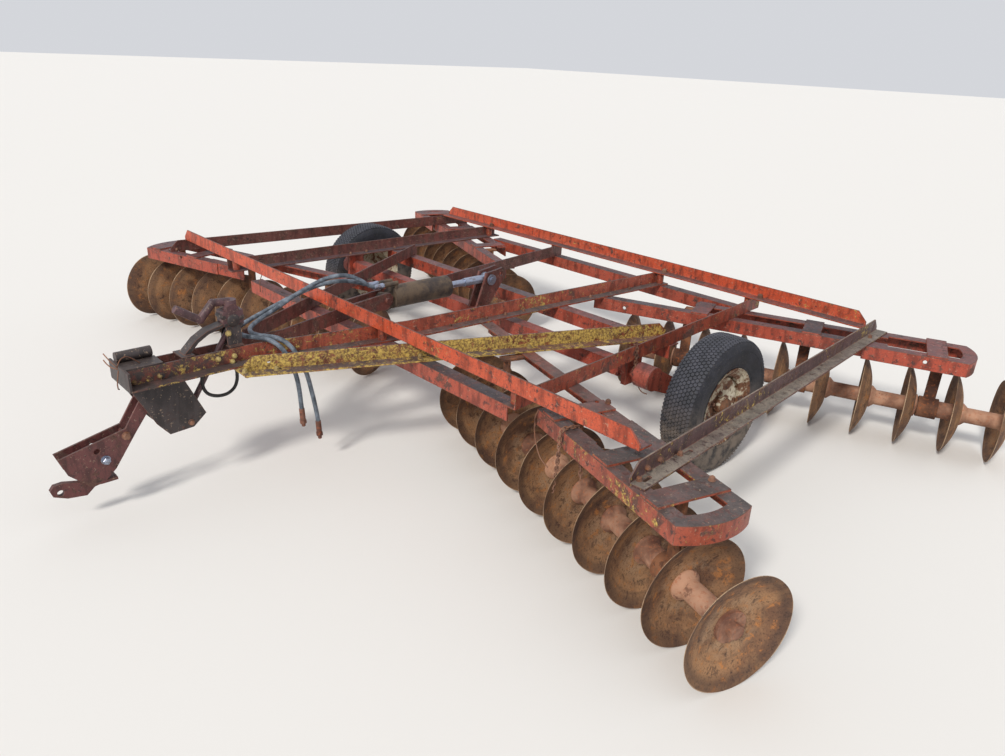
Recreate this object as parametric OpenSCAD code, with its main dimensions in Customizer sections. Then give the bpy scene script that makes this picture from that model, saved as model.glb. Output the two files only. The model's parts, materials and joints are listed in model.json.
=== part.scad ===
// Tandem disc harrow for towing: a bolted frame of rolled angle, four gangs of dished discs,
// two carrying wheels on a rockshaft worked by one hydraulic cylinder, and a hinged drawbar.
// x is the harrow's left, y its rear, z up; plan points are measured from the front cross angle's face.

/* [Levels] */
// y of the front cross angle's front face
front_y = -597; // [-700:1:-500]
// Gap between the ground and the discs, the tyres carrying the harrow
disc_lift = 1; // [1:0.5:20]
// Top of the gang frames and tie bars, where the long rails lie
gang_top = 568; // [540:1:600]

/* [Rolled angle] */
// Depth of a rail's upright leg
leg = 76; // [50:1:100]
// Width of its flange
flange = 70; // [40:1:90]
// Thickness of the angle
wall = 8; // [5:1:14]

/* [Cross angles] */
// Reach of the front cross angle to the left
front_reach_left = 1945; // [1800:1:2100]
// Reach of the front cross angle to the right
front_reach_right = 2034; // [1800:1:2100]
// Front of the rear cross angle's upright leg
rear_y = 2175; // [2000:1:2300]
// Reach of the rear cross angle to the left
rear_reach_left = 1828; // [1600:1:1950]
// Reach of the rear cross angle to the right
rear_reach_right = 1776; // [1600:1:1950]
// Cut corner at the ends of the cross angles and outer rails
end_cut = 52; // [2:1:70]
// Run of the tie bar between the front gang frames: x, y, x, y
front_tie = [-1080, 10, 1250, 10];
// Run of the tie bar between the rear gang frames
rear_tie = [-1130, 2110, 1130, 2110];
// Run of the bar across the middle of the frame
middle_tie = [-1300, 1200, 1236, 1200];

/* [Long rails] */
// Left main rail's run
main_left = [1307, 0, 1163, 2225];
// Right main rail's run
main_right = [-1382, 0, -1251, 2225];
// Left outer rail's run
outer_left = [1986, -105, 1804, 2400];
// Right outer rail's run
outer_right = [-2043, -105, -1736, 2400];
// Left tongue brace's run
brace_left = [258, -686, 1120, 1306];
// Right tongue brace's run
brace_right = [-46, -557, -1072, 1299];
// Inner face of the left centre beam along the tongue
tongue_left = 132; // [100:1:200]
// Inner face of the right centre beam along the tongue
tongue_right = 44; // [0:1:80]
// Front end of the tongue
tongue_front = -1150; // [-1300:5:-900]

// Sleeve centre in from a rail's outer face
sleeve_in = 38; // [30:1:45]
// Outer radius of a sleeve
sleeve_r = 22; // [16:1:26]

/* [Gang frames] */
// Outer end of a front gang's centreline: x, y
front_corner = [2297, -38];
// Sweep of the front gangs, outer end forward
front_sweep = 17; // [12:0.5:22]
// Outer end of a rear gang's centreline: x, y
rear_corner = [2300, 2405];
// Sweep of the rear gangs, outer end back
rear_sweep = 20.5; // [12:0.5:24]
// Half the width over a gang frame's two beams
frame_half = 162; // [140:1:180]
// Depth of a gang frame's upright legs
frame_leg = 75; // [50:1:100]
// Length of the inner beam that reaches the middle, from a frame's end
beam_long = 2069; // [1900:1:2200]
// Front frames: legs of the outer U piece, short inner beam, step in of the inner beams
front_frame = [705, 943, 8];
// Rear frames: the same three
rear_frame = [511, 1480, 35];
// Lap of an inner beam along the U piece
lap = 120; // [60:1:160]
// Width of a cross plate along its gang
plate_wide = 100; // [80:1:120]
// Bulge of the rounded outer end
end_bulge = 45; // [20:1:70]
// Cross plates of the left front frame, inward from its end
front_plates = [150, 455, 855];
// Cross plates of the right front frame, its outer one clear of the outer rail
front_plates_right = [85, 455, 855];
// Cross plates of the rear frames
rear_plates = [150, 785, 1415];
// Position of the outermost hanger inward from a front frame's end
front_hanger = 165; // [100:1:220]
// Position of the outermost hanger inward from a rear frame's end
rear_hanger = 122; // [100:1:220]

/* [Discs] */
// Radius of a disc
disc_r = 228.5; // [200:0.5:250]
// Dish of a disc
dish = 57; // [30:1:80]
// Disc thickness
disc_thick = 4.5; // [3:0.5:8]
// Spacing of the discs along the shaft
spacing = 228.6; // [200:0.1:240]
// Discs in a gang
discs = 10; // [8:1:11]
// Outermost disc's centre beyond a front frame's end
front_first = 143; // [50:1:250]
// Outermost disc's centre beyond a rear frame's end
rear_first = 265; // [50:1:300]
// Radius of a spool's barrel
spool_r = 42; // [30:1:55]
// Radius of a spool's flared ends
bell_r = 62; // [45:1:80]
// Radius of the shaft through a gang
shaft_r = 16; // [12:0.5:20]
// Radius of the hollow in a spool
spool_bore = 28; // [20:1:32]
// Radius of the journals in the gang bearings
journal_r = 36; // [25:1:40]
// Outer radius of a gang bearing
housing_r = 58; // [45:1:70]
// Running clearance round journals, spindles and pins
fit = 0.05; // [0.02:0.01:0.1]

/* [Rockshaft and wheels] */
// Rockshaft axis: y, z
rock = [915, 490];
// Side of the rockshaft's square tube
rock_side = 76; // [60:1:100]
// Gap between that tube's ends and the bearings
tube_gap = 37; // [5:1:60]
// Inner face of the wheel arms
arm_x = 1334; // [1320:1:1380]
// Thickness of a wheel arm
arm_thick = 26; // [16:1:32]
// Thickness of a rockshaft bearing
bearing_thick = 30; // [20:1:40]
// Radius of the rockshaft's round ends
rock_r = 35; // [25:1:40]
// y of the wheel spindles; they stand a tyre's radius above the ground
spindle_y = 1198.5; // [1150:0.5:1250]
// Radius of a wheel spindle
spindle_r = 22.5; // [16:0.5:28]
// Wheel centre from the middle
wheel_x = 1539; // [1450:1:1600]
// Radius of a tyre
tyre_r = 355; // [320:1:380]
// Width of a tyre
tyre_w = 190; // [150:1:220]
// Radius of the rim's bead seat
rim_r = 190.5; // [170:0.5:210]

/* [Cylinder] */
// Middle plane of the cylinder
ram_x = 50; // [0:1:100]
// Fixed pin: y, z
ram_pin = [215, 701];
// Rod pin on the lift arm: y, z
rod_pin = [965, 697];
// Radius of both pins
pin_r = 15; // [10:0.5:20]
// Outer radius of the barrel
barrel_r = 62; // [45:1:70]
// Barrel's end from its pin
barrel_end = 440; // [400:1:480]
// Radius of the rod
rod_r = 19; // [14:0.5:25]
// Clearance round the rod pin in the lift arm's holes
drift = 9; // [6:0.5:12]

/* [Hitch] */
// Drawbar hinge: y, z
hinge = [-1005, 595];
// Radius of the hinge pin
hinge_r = 12; // [8:0.5:16]
// Outer width over the drawbar's two plates
bar_width = 76; // [60:1:80]
// Drawbar plate thickness
bar_thick = 10; // [6:1:14]
// Radius of the drawbar's free cross hole
cross_hole_r = 13; // [8:0.5:18]
// Radius of the levelling crank's handle
crank_r = 18; // [12:0.5:22]

/* [Hoses] */
// Side step of the two hose fittings from the cylinder's middle plane
port_side = 26; // [20:1:40]
// Height of those fittings above the cylinder's axis
port_rise = 80; // [70:1:90]
// Outer radius of a hose
hose_r = 11; // [8:0.5:14]

/* [Hidden] */
rail_top = gang_top + leg;
shaft_z = disc_r + disc_lift;
spindle = [spindle_y, tyre_r];
tongue_mid = (tongue_left + tongue_right) / 2;
paint = [0.62, 0.2, 0.13];
dark = [0.3, 0.17, 0.14];
rust = [0.42, 0.27, 0.17];
lichen = [0.62, 0.52, 0.2];
black = [0.08, 0.08, 0.09];
grey = [0.35, 0.37, 0.4];
steel = [0.6, 0.62, 0.65];
centre_left = [[tongue_left, tongue_front], [tongue_left, -560], [285, 200], [446, 2190]];
centre_right = [[tongue_right, tongue_front], [tongue_right, -380], [-120, 160], [-307, 1066], [-460, 2190]];
bearing_left = across([[main_left[0], main_left[1]], [main_left[2], main_left[3]]], rock.x) - flange / 2;
bearing_right = across([[main_right[0], main_right[1]], [main_right[2], main_right[3]]], rock.x) + flange / 2;
end_r = (frame_half * frame_half + end_bulge * end_bulge) / (2 * end_bulge);
gap = spacing - disc_thick;
ram_len = norm(rod_pin - ram_pin);
ram_tilt = atan2(rod_pin.y - ram_pin.y, rod_pin.x - ram_pin.x);
port = [ram_pin.x - 14, ram_pin.y + port_rise];
screw_foot = hinge + [97, -252];
hose_a_path = [[ram_x + port_side, port.x, port.y], [76, 178, 781], [76, 155, 781], [72, 112, 797], [56, 66, 831],
    [28, 0, 857], [-16, -90, 843], [-54, -220, 783], [-74, -340, 717], [-70, -440, 677], [-30, -505, 661],
    [34, -530, 659], [96, -520, 661], [150, -500, 667], [200, -475, 665], [248, -450, 641],
    [284, -425, 585], [300, -400, 505], [300, -380, 415], [292, -360, 325], [284, -345, 245],
    [282, -338, 157]];
hose_b_path = [[ram_x - port_side, port.x, port.y], [24, 178, 781], [24, 155, 781], [18, 112, 793], [0, 60, 809],
    [-36, -10, 813], [-82, -110, 791], [-114, -240, 745], [-130, -370, 695], [-116, -480, 665],
    [-70, -550, 657], [0, -580, 658], [70, -575, 661], [130, -550, 667], [190, -520, 665], [236, -490, 637],
    [262, -462, 575], [272, -440, 495], [266, -425, 415], [258, -415, 325],
    [254, -408, 235]];

// x of a plan path at a y
function across(path, y) = lookup(y, [for (p = path) [p.y, p.x]]);
// Left-hand normal of a plan step
function normal(a, b) = [-(b - a).y, (b - a).x] / norm(b - a);
// Plan points of a path moved sideways, its bends mitred
function moved(path, by) = [for (i = [0 : len(path) - 1])
    let (n = normal(path[max(i - 1, 0)], path[max(i, 1)]),
        m = normal(path[min(i, len(path) - 2)], path[min(i + 1, len(path) - 1)]))
    path[i] + by * (n + m) / (1 + n * m)];

// Flat strip beside a plan path, between two distances from it
module strip(path, from, to) {
    face = moved(path, from);
    back = moved(path, to);
    polygon(concat(face, [for (i = [len(path) - 1 : -1 : 0]) back[i]]));
}

// Bent angle: upright leg's outer face on the path, flange to its left (1) or right (-1)
module bent_angle(path, foot, deep, wide, side, high) {
    translate([0, 0, high ? foot : foot + wall]) linear_extrude(deep - wall) strip(path, 0, side * wall);
    translate([0, 0, high ? foot + deep - wall : foot]) linear_extrude(wall) strip(path, 0, side * wide);
}

// Straight angle between two plan points, the leg's upper corners cut
module bar(run, foot, deep, wide, side, high, cut) {
    length = norm([run[2] - run[0], run[3] - run[1]]);
    translate([run[0], run[1] + front_y, foot])
        rotate([0, 0, atan2(run[3] - run[1], run[2] - run[0])]) {
            translate([0, side > 0 ? wall : 0, 0]) rotate([90, 0, 0]) linear_extrude(wall)
                polygon([[0, 0], [length, 0], [length, deep - cut], [length - cut, deep],
                    [cut, deep], [0, deep - cut]]);
            translate([0, side > 0 ? 0 : -wide, high ? deep - wall : 0]) cube([length, wide, wall]);
        }
}

// Sleeve that carries a cross angle on a rail's flange
module sleeve(x, y) {
    translate([x, y + front_y, gang_top + wall]) difference() {
        cylinder(r = sleeve_r, h = leg - wall, $fn = 32);
        translate([0, 0, -1]) cylinder(r = 10, h = leg, $fn = 32);
    }
}

// Places for a gang's parts: x along its shaft outward, y across it to the rear
module at_front() {
    translate([front_corner.x, front_corner.y + front_y, 0]) rotate([0, 0, -front_sweep]) children();
}
module at_rear() {
    translate([rear_corner.x, rear_corner.y + front_y, 0]) rotate([0, 0, rear_sweep]) children();
}
module mirrored() {
    mirror([1, 0, 0]) children();
}

// Outline of a gang frame's U piece, drawn in from its edge
module frame_block(legs, inset, foot, height, spare) {
    reach = end_r - inset;
    half = frame_half - inset;
    intersection() {
        translate([-legs - spare, -half, foot]) cube([legs + spare + end_bulge, 2 * half, height]);
        union() {
            translate([end_bulge - end_r, 0, foot]) cylinder(r = reach, h = height, $fn = 96);
            translate([-legs - 2, -200, foot]) cube([legs - 118, 400, height]);
        }
    }
}

// Gang frame: U-shaped outer piece, two inner beams and cross plates; way is 1 for a long rear beam
// sizes: legs of the U piece, short inner beam, step in
module gang_frame(way, sizes, plates) {
    foot = gang_top - frame_leg;
    inner = frame_half - sizes[2];
    mirror([0, way > 0 ? 0 : 1, 0]) {
        difference() {
            frame_block(sizes[0], 0, foot, frame_leg, 0);
            frame_block(sizes[0], wall, foot - 1, frame_leg - wall + 1, 1);
            frame_block(sizes[0], flange, foot - 1, frame_leg + 2, 1);
        }
        for (beam = [[beam_long, inner - wall, inner - flange], [sizes[1], -inner, -inner]]) {
            length = beam[0] - sizes[0] + lap;
            translate([-beam[0], beam[1], foot]) cube([length, wall, frame_leg]);
            translate([-beam[0], beam[2], gang_top - wall]) cube([length, flange, wall]);
        }
        for (x = plates) {
            half = x < sizes[0] ? frame_half - 4 : inner - 4;
            translate([-x - plate_wide / 2, -half, gang_top]) cube([plate_wide, 2 * half, 10]);
        }
    }
}

// Bearing hangers: arm under the long beam, strap and housing
module hangers(way, sizes, hanger) {
    for (i = [0 : 2]) translate([-hanger - i * 3 * spacing, 0, 0]) {
        leg_face = frame_half - wall - (hanger + i * 3 * spacing < sizes[0] ? 0 : sizes[2]);
        translate([-30, way > 0 ? -30 : -leg_face, gang_top - wall - 12]) cube([60, leg_face + 30, 12]);
        difference() {
            union() {
                translate([-30, -6, shaft_z]) cube([60, 12, gang_top - wall - 12 - shaft_z]);
                translate([-50, 0, shaft_z]) rotate([0, 90, 0]) cylinder(r = housing_r, h = 100, $fn = 48);
            }
            translate([-60, 0, shaft_z]) rotate([0, 90, 0]) cylinder(r = journal_r + fit, h = 120, $fn = 48);
        }
    }
}

// One disc about the x axis, hollow side towards +x, its flat middle's hollow face at x 0
module disc() {
    rotate([0, 90, 0]) rotate_extrude($fn = 72) polygon([[shaft_r, -disc_thick], [bell_r + 3, -disc_thick],
        [disc_r * 0.45, 0.1 * dish - disc_thick], [disc_r * 0.7, 0.39 * dish - disc_thick],
        [disc_r * 0.86, 0.67 * dish - disc_thick], [disc_r, dish - disc_thick], [disc_r, dish],
        [disc_r * 0.86, 0.67 * dish], [disc_r * 0.7, 0.39 * dish], [disc_r * 0.45, 0.1 * dish], [bell_r + 3, 0],
        [shaft_r, 0]]);
}

// The discs of a gang; hollow is 1 where they face outward
module disc_row(first, hollow) {
    for (i = [0 : discs - 1]) translate([first - i * spacing, 0, shaft_z])
        if (hollow > 0) disc(); else rotate([0, 0, 180]) disc();
}

// Spools between the discs, with a journal where a hanger stands, on a shaft with nuts at both ends
module spool_row(first, hollow, hanger) {
    back = hollow > 0 ? 0 : disc_thick;
    last = first - (discs - 1) * spacing;
    for (i = [0 : discs - 2]) {
        start = first - (i + 1) * spacing + back;
        mid = -hanger - (i - 1) * spacing - start;
        tube = i % 3 == 1 ? [[bell_r, 8], [spool_r + 4, 14], [spool_r + 4, mid - 51], [journal_r, mid - 51],
            [journal_r, mid + 51], [spool_r + 4, mid + 51], [spool_r + 4, gap - 14]] :
            [[bell_r, 8], [spool_r, 30], [spool_r, gap - 30]];
        translate([start, 0, shaft_z]) rotate([0, 90, 0]) rotate_extrude($fn = 40)
            polygon(concat([[spool_bore, 0], [bell_r, 0]], tube, [[bell_r, gap - 8], [bell_r, gap],
                [spool_bore, gap]]));
    }
    translate([last + back - disc_thick - 46, 0, shaft_z]) rotate([0, 90, 0]) {
        cylinder(r = shaft_r, h = first - last + disc_thick + 92, $fn = 32);
        translate([0, 0, 30]) cylinder(r = bell_r, h = 16, $fn = 40);
        cylinder(r = 30, h = 40, $fn = 6);
        translate([0, 0, first - last + disc_thick + 46]) cylinder(r = bell_r, h = 16, $fn = 40);
        translate([0, 0, first - last + disc_thick + 52]) cylinder(r = 30, h = 40, $fn = 6);
    }
}

// Ring of sweep points about one point of a route
function ring(p, d, r) = let (a = cross(d, [0.2, 0.1, 1]), u = a / norm(a), v = cross(u, d))
    [for (k = [0 : 9]) p + r * (cos(36 * k) * u + sin(36 * k) * v)];
function toward(path, i) = let (d = path[min(i + 1, len(path) - 1)] - path[max(i - 1, 0)]) d / norm(d);
// Point between two route points on a smooth curve through them
function smooth(path, i, t) = let (n = len(path) - 1, a = path[max(i - 1, 0)], b = path[i],
    c = path[i + 1], d = path[min(i + 2, n)])
    0.5 * (2 * b + (c - a) * t + (2 * a - 5 * b + 4 * c - d) * t * t + (3 * b - a - 3 * c + d) * t * t * t);
function finer(path) = concat([for (i = [0 : len(path) - 2], t = [0, 0.5]) smooth(path, i, t)],
    [path[len(path) - 1]]);

// Round hose along a route
module hose(path) {
    fine = finer(path);
    rings = len(fine);
    points = [for (i = [0 : rings - 1]) each ring(fine[i] + [0, front_y, 0], toward(fine, i), hose_r)];
    faces = concat([[for (k = [0 : 9]) k]],
        [for (i = [0 : rings - 2], k = [0 : 9])
            [i * 10 + k, (i + 1) * 10 + k, (i + 1) * 10 + (k + 1) % 10, i * 10 + (k + 1) % 10]],
        [[for (k = [9 : -1 : 0]) (rings - 1) * 10 + k]]);
    polyhedron(points, faces);
}

module front_cross_angle() {
    color(paint) bar([-front_reach_right, 0, front_reach_left, 0], rail_top, leg, leg, 1, false, end_cut);
}

module rear_cross_angle() {
    color(paint) bar([rear_reach_left, rear_y + wall, -rear_reach_right, rear_y + wall],
        rail_top, leg, leg, 1, false, end_cut);
}

module main_rail_left() {
    color(paint) bar(main_left, gang_top, leg, flange, 1, false, 4);
}

module main_rail_right() {
    color(paint) bar(main_right, gang_top, leg, flange, -1, false, 4);
}

module outer_rail_left() {
    color(dark) bar(outer_left, gang_top, leg, flange, -1, false, end_cut);
}

module outer_rail_right() {
    color(dark) bar(outer_right, gang_top, leg, flange, 1, false, end_cut);
}

module centre_beam_left() {
    color(paint) difference() {
        translate([0, front_y, 0]) bent_angle(centre_left, gang_top, leg, flange, -1, false);
        cross_pin(tongue_left - 1, hinge, hinge_r, wall + 2);
    }
}

module centre_beam_right() {
    color(paint) difference() {
        translate([0, front_y, 0]) bent_angle(centre_right, gang_top, leg, flange, 1, false);
        cross_pin(tongue_right - wall - 1, hinge, hinge_r, wall + 2);
    }
}

module tongue_brace_left() {
    color(lichen) {
        difference() {
            bar(brace_left, gang_top, leg, flange, -1, false, 40);
            translate([0, front_y, gang_top - 1]) linear_extrude(wall + 2)
                strip([[main_left[0], main_left[1]], [main_left[2], main_left[3]]], -20, flange + 5);
        }
        translate([150, front_y - 700, gang_top - 10]) cube([160, 90, 10]);
    }
}

module tongue_brace_right() {
    color(dark) {
        bar(brace_right, gang_top, leg, flange, 1, false, 40);
        translate([-110, front_y - 580, gang_top - 10]) cube([140, 90, 10]);
    }
}

module front_tie_bar() {
    color(paint) bar(front_tie, gang_top - frame_leg, frame_leg, leg, 1, true, 2);
}

module rear_tie_bar() {
    color(paint) bar(rear_tie, gang_top - frame_leg, frame_leg, leg, 1, true, 2);
}

module middle_tie_bar() {
    color(paint) bar(middle_tie, gang_top - frame_leg, frame_leg, leg, 1, true, 2);
}

module spacer_sleeves() {
    color(paint) {
        for (y = [leg / 2 + 4, rear_y + wall - leg / 2 - 4]) {
            sleeve(across([[main_left[0], main_left[1]], [main_left[2], main_left[3]]], y) - sleeve_in, y);
            sleeve(across(centre_left, y) + sleeve_in, y);
            sleeve(across(centre_right, y) - sleeve_in, y);
            sleeve(across([[main_right[0], main_right[1]], [main_right[2], main_right[3]]], y) + sleeve_in, y);
        }
    }
}

module gang_frame_front_left() {
    color(paint) at_front() gang_frame(1, front_frame, front_plates);
}

module gang_frame_front_right() {
    color(paint) mirrored() at_front() gang_frame(1, front_frame, front_plates_right);
}

module gang_frame_rear_left() {
    color(paint) at_rear() gang_frame(-1, rear_frame, rear_plates);
}

module gang_frame_rear_right() {
    color(paint) mirrored() at_rear() gang_frame(-1, rear_frame, rear_plates);
}

module hangers_front_left() {
    color(rust) at_front() hangers(1, front_frame, front_hanger);
}

module hangers_front_right() {
    color(rust) mirrored() at_front() hangers(1, front_frame, front_hanger);
}

module hangers_rear_left() {
    color(rust) at_rear() hangers(-1, rear_frame, rear_hanger);
}

module hangers_rear_right() {
    color(rust) mirrored() at_rear() hangers(-1, rear_frame, rear_hanger);
}

module discs_front_left() {
    color(rust) at_front() disc_row(front_first, 1);
}

module discs_front_right() {
    color(rust) mirrored() at_front() disc_row(front_first, 1);
}

module discs_rear_left() {
    color(rust) at_rear() disc_row(rear_first, -1);
}

module discs_rear_right() {
    color(rust) mirrored() at_rear() disc_row(rear_first, -1);
}

module spools_front_left() {
    color(rust) at_front() spool_row(front_first, 1, front_hanger);
}

module spools_front_right() {
    color(rust) mirrored() at_front() spool_row(front_first, 1, front_hanger);
}

module spools_rear_left() {
    color(rust) at_rear() spool_row(rear_first, -1, rear_hanger);
}

module spools_rear_right() {
    color(rust) mirrored() at_rear() spool_row(rear_first, -1, rear_hanger);
}

// Bearing blocks of the rockshaft under the main rails' flanges
module rock_bearings() {
    color(paint) for (x = [bearing_left, bearing_right]) translate([x, rock.x + front_y, rock.y]) difference() {
        translate([-bearing_thick / 2, -60, -60]) cube([bearing_thick, 120, gang_top - rock.y + 60]);
        translate([-bearing_thick, 0, 0]) rotate([0, 90, 0]) cylinder(r = rock_r + fit, h = 2 * bearing_thick, $fn = 48);
    }
}

module rockshaft() {
    left = bearing_left - bearing_thick / 2 - tube_gap;
    right = bearing_right + bearing_thick / 2 + tube_gap;
    hollow = rock_side - 14;
    color(paint) translate([0, rock.x + front_y, rock.y]) {
        difference() {
            translate([right, -rock_side / 2, -rock_side / 2]) cube([left - right, rock_side, rock_side]);
            translate([right - 1, -hollow / 2, -hollow / 2]) cube([left - right + 2, hollow, hollow]);
        }
        translate([left - 40, 0, 0]) rotate([0, 90, 0]) cylinder(r = rock_r, h = arm_x - left + 40, $fn = 48);
        translate([-arm_x, 0, 0]) rotate([0, 90, 0]) cylinder(r = rock_r, h = arm_x + right + 40, $fn = 48);
        for (x = [left - 40, right + 30]) translate([x, -hollow / 2, -hollow / 2]) cube([10, hollow, hollow]);
        collar(bearing_left + bearing_thick / 2 + 35, arm_x);
        collar(-arm_x, bearing_right - bearing_thick / 2 - 4);
    }
}

// Collar on the rockshaft between two x places
module collar(from, to) {
    translate([from, 0, 0]) rotate([0, 90, 0]) difference() {
        cylinder(r = 62, h = to - from, $fn = 48);
        translate([0, 0, -1]) cylinder(r = rock_r - 5, h = to - from + 2, $fn = 48);
    }
}

// Wheel arm from the rockshaft's end back to the spindle
module wheel_arm() {
    back = spindle.x - rock.x;
    down = spindle.y - rock.y;
    translate([arm_x, rock.x + front_y, rock.y]) {
        rotate([0, 90, 0]) cylinder(r = 62, h = arm_thick, $fn = 48);
        translate([0, back, down]) rotate([0, 90, 0]) cylinder(r = 48, h = arm_thick, $fn = 48);
        rotate([90, 0, 90]) linear_extrude(arm_thick) rotate(atan2(down, back))
            polygon([[0, -54], [norm([back, down]), -40], [norm([back, down]), 40], [0, 54]]);
        translate([arm_thick / 2, back, down]) rotate([0, 90, 0])
            cylinder(r = spindle_r, h = wheel_x - arm_x + 60, $fn = 40);
    }
}

module wheel_arm_left() {
    color(rust) wheel_arm();
}

module wheel_arm_right() {
    color(rust) mirrored() wheel_arm();
}

// Pressed rim with its hub, about the x axis through the wheel's middle
module rim() {
    lip = rim_r + 15;
    side = tyre_w / 2 - 15;
    edge = [[lip - 51, 45], [lip - 23, side - 15], [lip - 23, side - 10], [lip - 10, side - 5],
        [lip - 4, side], [lip, side], [lip, side - 4], [lip - 5, side - 9], [lip - 19, side - 14],
        [lip - 19, side - 18], [lip - 47, 42]];
    rotate([0, 90, 0]) rotate_extrude($fn = 72) polygon(concat([[spindle_r + fit, -40], [spindle_r + fit, 60],
        [46, 60], [46, 24], [lip - 65, 34], [lip - 55, 6], [lip - 51, -11]], edge,
        [for (i = [10 : -1 : 0]) [edge[i].x, -edge[i].y]],
        [[lip - 51, -28], [lip - 59, 4], [lip - 68, 28], [46, 18], [46, -40]]));
}

// Tyre carcass, about the x axis through the wheel's middle
module tyre() {
    bead = rim_r - 4;
    w = tyre_w / 2;
    half = [[bead, w - 29], [bead + 14, w - 24], [bead + 44, w - 9], [bead + 94, w], [tyre_r - 35, w - 5],
        [tyre_r - 10, w - 19], [tyre_r - 2, w - 35], [tyre_r, w - 65]];
    inner = [[tyre_r - 17, w - 65], [tyre_r - 23, w - 33], [tyre_r - 37, w - 19], [bead + 99, w - 15],
        [bead + 64, w - 21], [bead + 29, w - 33], [bead + 6, w - 45]];
    rotate([0, 90, 0]) rotate_extrude($fn = 96) polygon(concat(half, [for (i = [7 : -1 : 0]) [half[i].x, -half[i].y]],
        [for (i = [6 : -1 : 0]) [inner[i].x, -inner[i].y]], inner));
}

module rim_left() {
    color([0.75, 0.7, 0.6]) translate([wheel_x, spindle.x + front_y, spindle.y]) rim();
}

module rim_right() {
    color([0.75, 0.7, 0.6]) mirrored() translate([wheel_x, spindle.x + front_y, spindle.y]) rim();
}

module tyre_left() {
    color(black) translate([wheel_x, spindle.x + front_y, spindle.y]) tyre();
}

module tyre_right() {
    color(black) mirrored() translate([wheel_x, spindle.x + front_y, spindle.y]) tyre();
}

// Plates in the y-z plane, both sides of a middle plane
module side_plate(x, thick, points) {
    translate([x, front_y, 0]) rotate([90, 0, 90]) linear_extrude(thick) polygon(points);
}

// Round bar across, at a point of the y-z plane
module cross_pin(x, at, r, length) {
    translate([x, at.x + front_y, at.y]) rotate([0, 90, 0]) cylinder(r = r, h = length, $fn = 40);
}

module lift_arm() {
    color(rust) {
        for (x = [ram_x - 38, ram_x + 24]) difference() {
            side_plate(x, 14, [[rock.x - 60, rock.y + rock_side / 2], [rock.x + 38, rock.y + rock_side / 2],
                rod_pin + [127, 12], rod_pin + [121, 42], rod_pin + [95, 60], rod_pin + [65, 54], rod_pin + [-35, 42],
                rod_pin + [-47, -2]]);
            cross_pin(x - 1, rod_pin + [85, 22], 13, 16);
            cross_pin(x - 1, rod_pin, pin_r + drift, 16);
        }
    }
}

module cylinder_anchor() {
    color(rust) {
        for (x = [ram_x - 47, ram_x + 33]) side_plate(x, 14, [[wall, rail_top + wall],
            [ram_pin.x, rail_top + wall], ram_pin + [35, -16], ram_pin + [35, 16], ram_pin + [17, 38],
            ram_pin + [-19, 38], [wall, rail_top + leg]]);
        cross_pin(ram_x - 60, ram_pin, pin_r, 120);
    }
}

// Cylinder parts lie along +y from the fixed pin
module along_ram() {
    translate([ram_x, ram_pin.x + front_y, ram_pin.y]) rotate([ram_tilt, 0, 0]) rotate([-90, 0, 0]) children();
}

module cylinder_barrel() {
    color(grey) along_ram() {
        difference() {
            union() {
                translate([-24, -24, 0]) cube([48, 48, 60]);
                translate([-24, 0, 0]) rotate([0, 90, 0]) cylinder(r = 32, h = 48, $fn = 40);
                translate([0, 0, 52]) cylinder(r = barrel_r, h = barrel_end - 52, $fn = 64);
            }
            translate([-30, 0, 0]) rotate([0, 90, 0]) cylinder(r = pin_r + fit, h = 60, $fn = 40);
            translate([0, 0, 80]) cylinder(r = barrel_r - 10, h = barrel_end - 110, $fn = 64);
            translate([0, 0, barrel_end - 40]) cylinder(r = rod_r + fit, h = 60, $fn = 40);
        }
        for (x = [-port_side, port_side]) translate([x, -port_rise, 66]) rotate([-90, 0, 0])
            cylinder(r = 11, h = port_rise - 44, $fn = 32);
    }
    color(grey) for (x = [-port_side, port_side])
        translate([ram_x + x, ram_pin.x + front_y - 14, ram_pin.y + port_rise]) rotate([-90, 0, 0])
            cylinder(r = 13, h = 92, $fn = 32);
}

module cylinder_rod() {
    color(steel) along_ram() {
        translate([0, 0, barrel_end - 80]) cylinder(r = rod_r, h = ram_len - barrel_end + 50, $fn = 40);
        translate([0, 0, barrel_end - 80]) cylinder(r = barrel_r - 10.05, h = 40, $fn = 64);
        translate([0, 0, 570]) cylinder(r = 24, h = ram_len - 590, $fn = 40);
        translate([-20, 0, ram_len]) rotate([0, 90, 0]) cylinder(r = 34, h = 40, $fn = 40);
        translate([-60, 0, ram_len]) rotate([0, 90, 0]) cylinder(r = pin_r, h = 120, $fn = 40);
        for (x = [-52, 44]) translate([x, 0, ram_len]) rotate([0, 90, 0]) cylinder(r = 32, h = 8, $fn = 40);
    }
}

module hitch_head() {
    color(dark) translate([0, front_y, 0]) {
        translate([tongue_right - 70, tongue_front - 10, gang_top]) cube([tongue_left - tongue_right + 140, 10, 88]);
        translate([tongue_right - wall, tongue_front, rail_top]) cube([tongue_left - tongue_right + 2 * wall, 160, 8]);
        translate([30, tongue_front, rail_top + 30]) rotate([-90, 0, 0]) cylinder(r = 24, h = 150, $fn = 32);
        translate([tongue_right - wall - 12, hinge.x, hinge.y]) rotate([0, 90, 0])
            cylinder(r = hinge_r, h = tongue_left - tongue_right + 2 * wall + 24, $fn = 32);
    }
}

module hitch_bracket() {
    color(dark) {
        for (x = [tongue_left + 10, tongue_right - 20]) side_plate(x, 10, [[-1148, gang_top], [-922, gang_top],
            hinge + [170, -225], hinge + [108, -278], hinge + [0, -284], hinge + [-50, -220]]);
        cross_pin(tongue_right - 30, screw_foot, 12, tongue_left - tongue_right + 60);
    }
}

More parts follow.
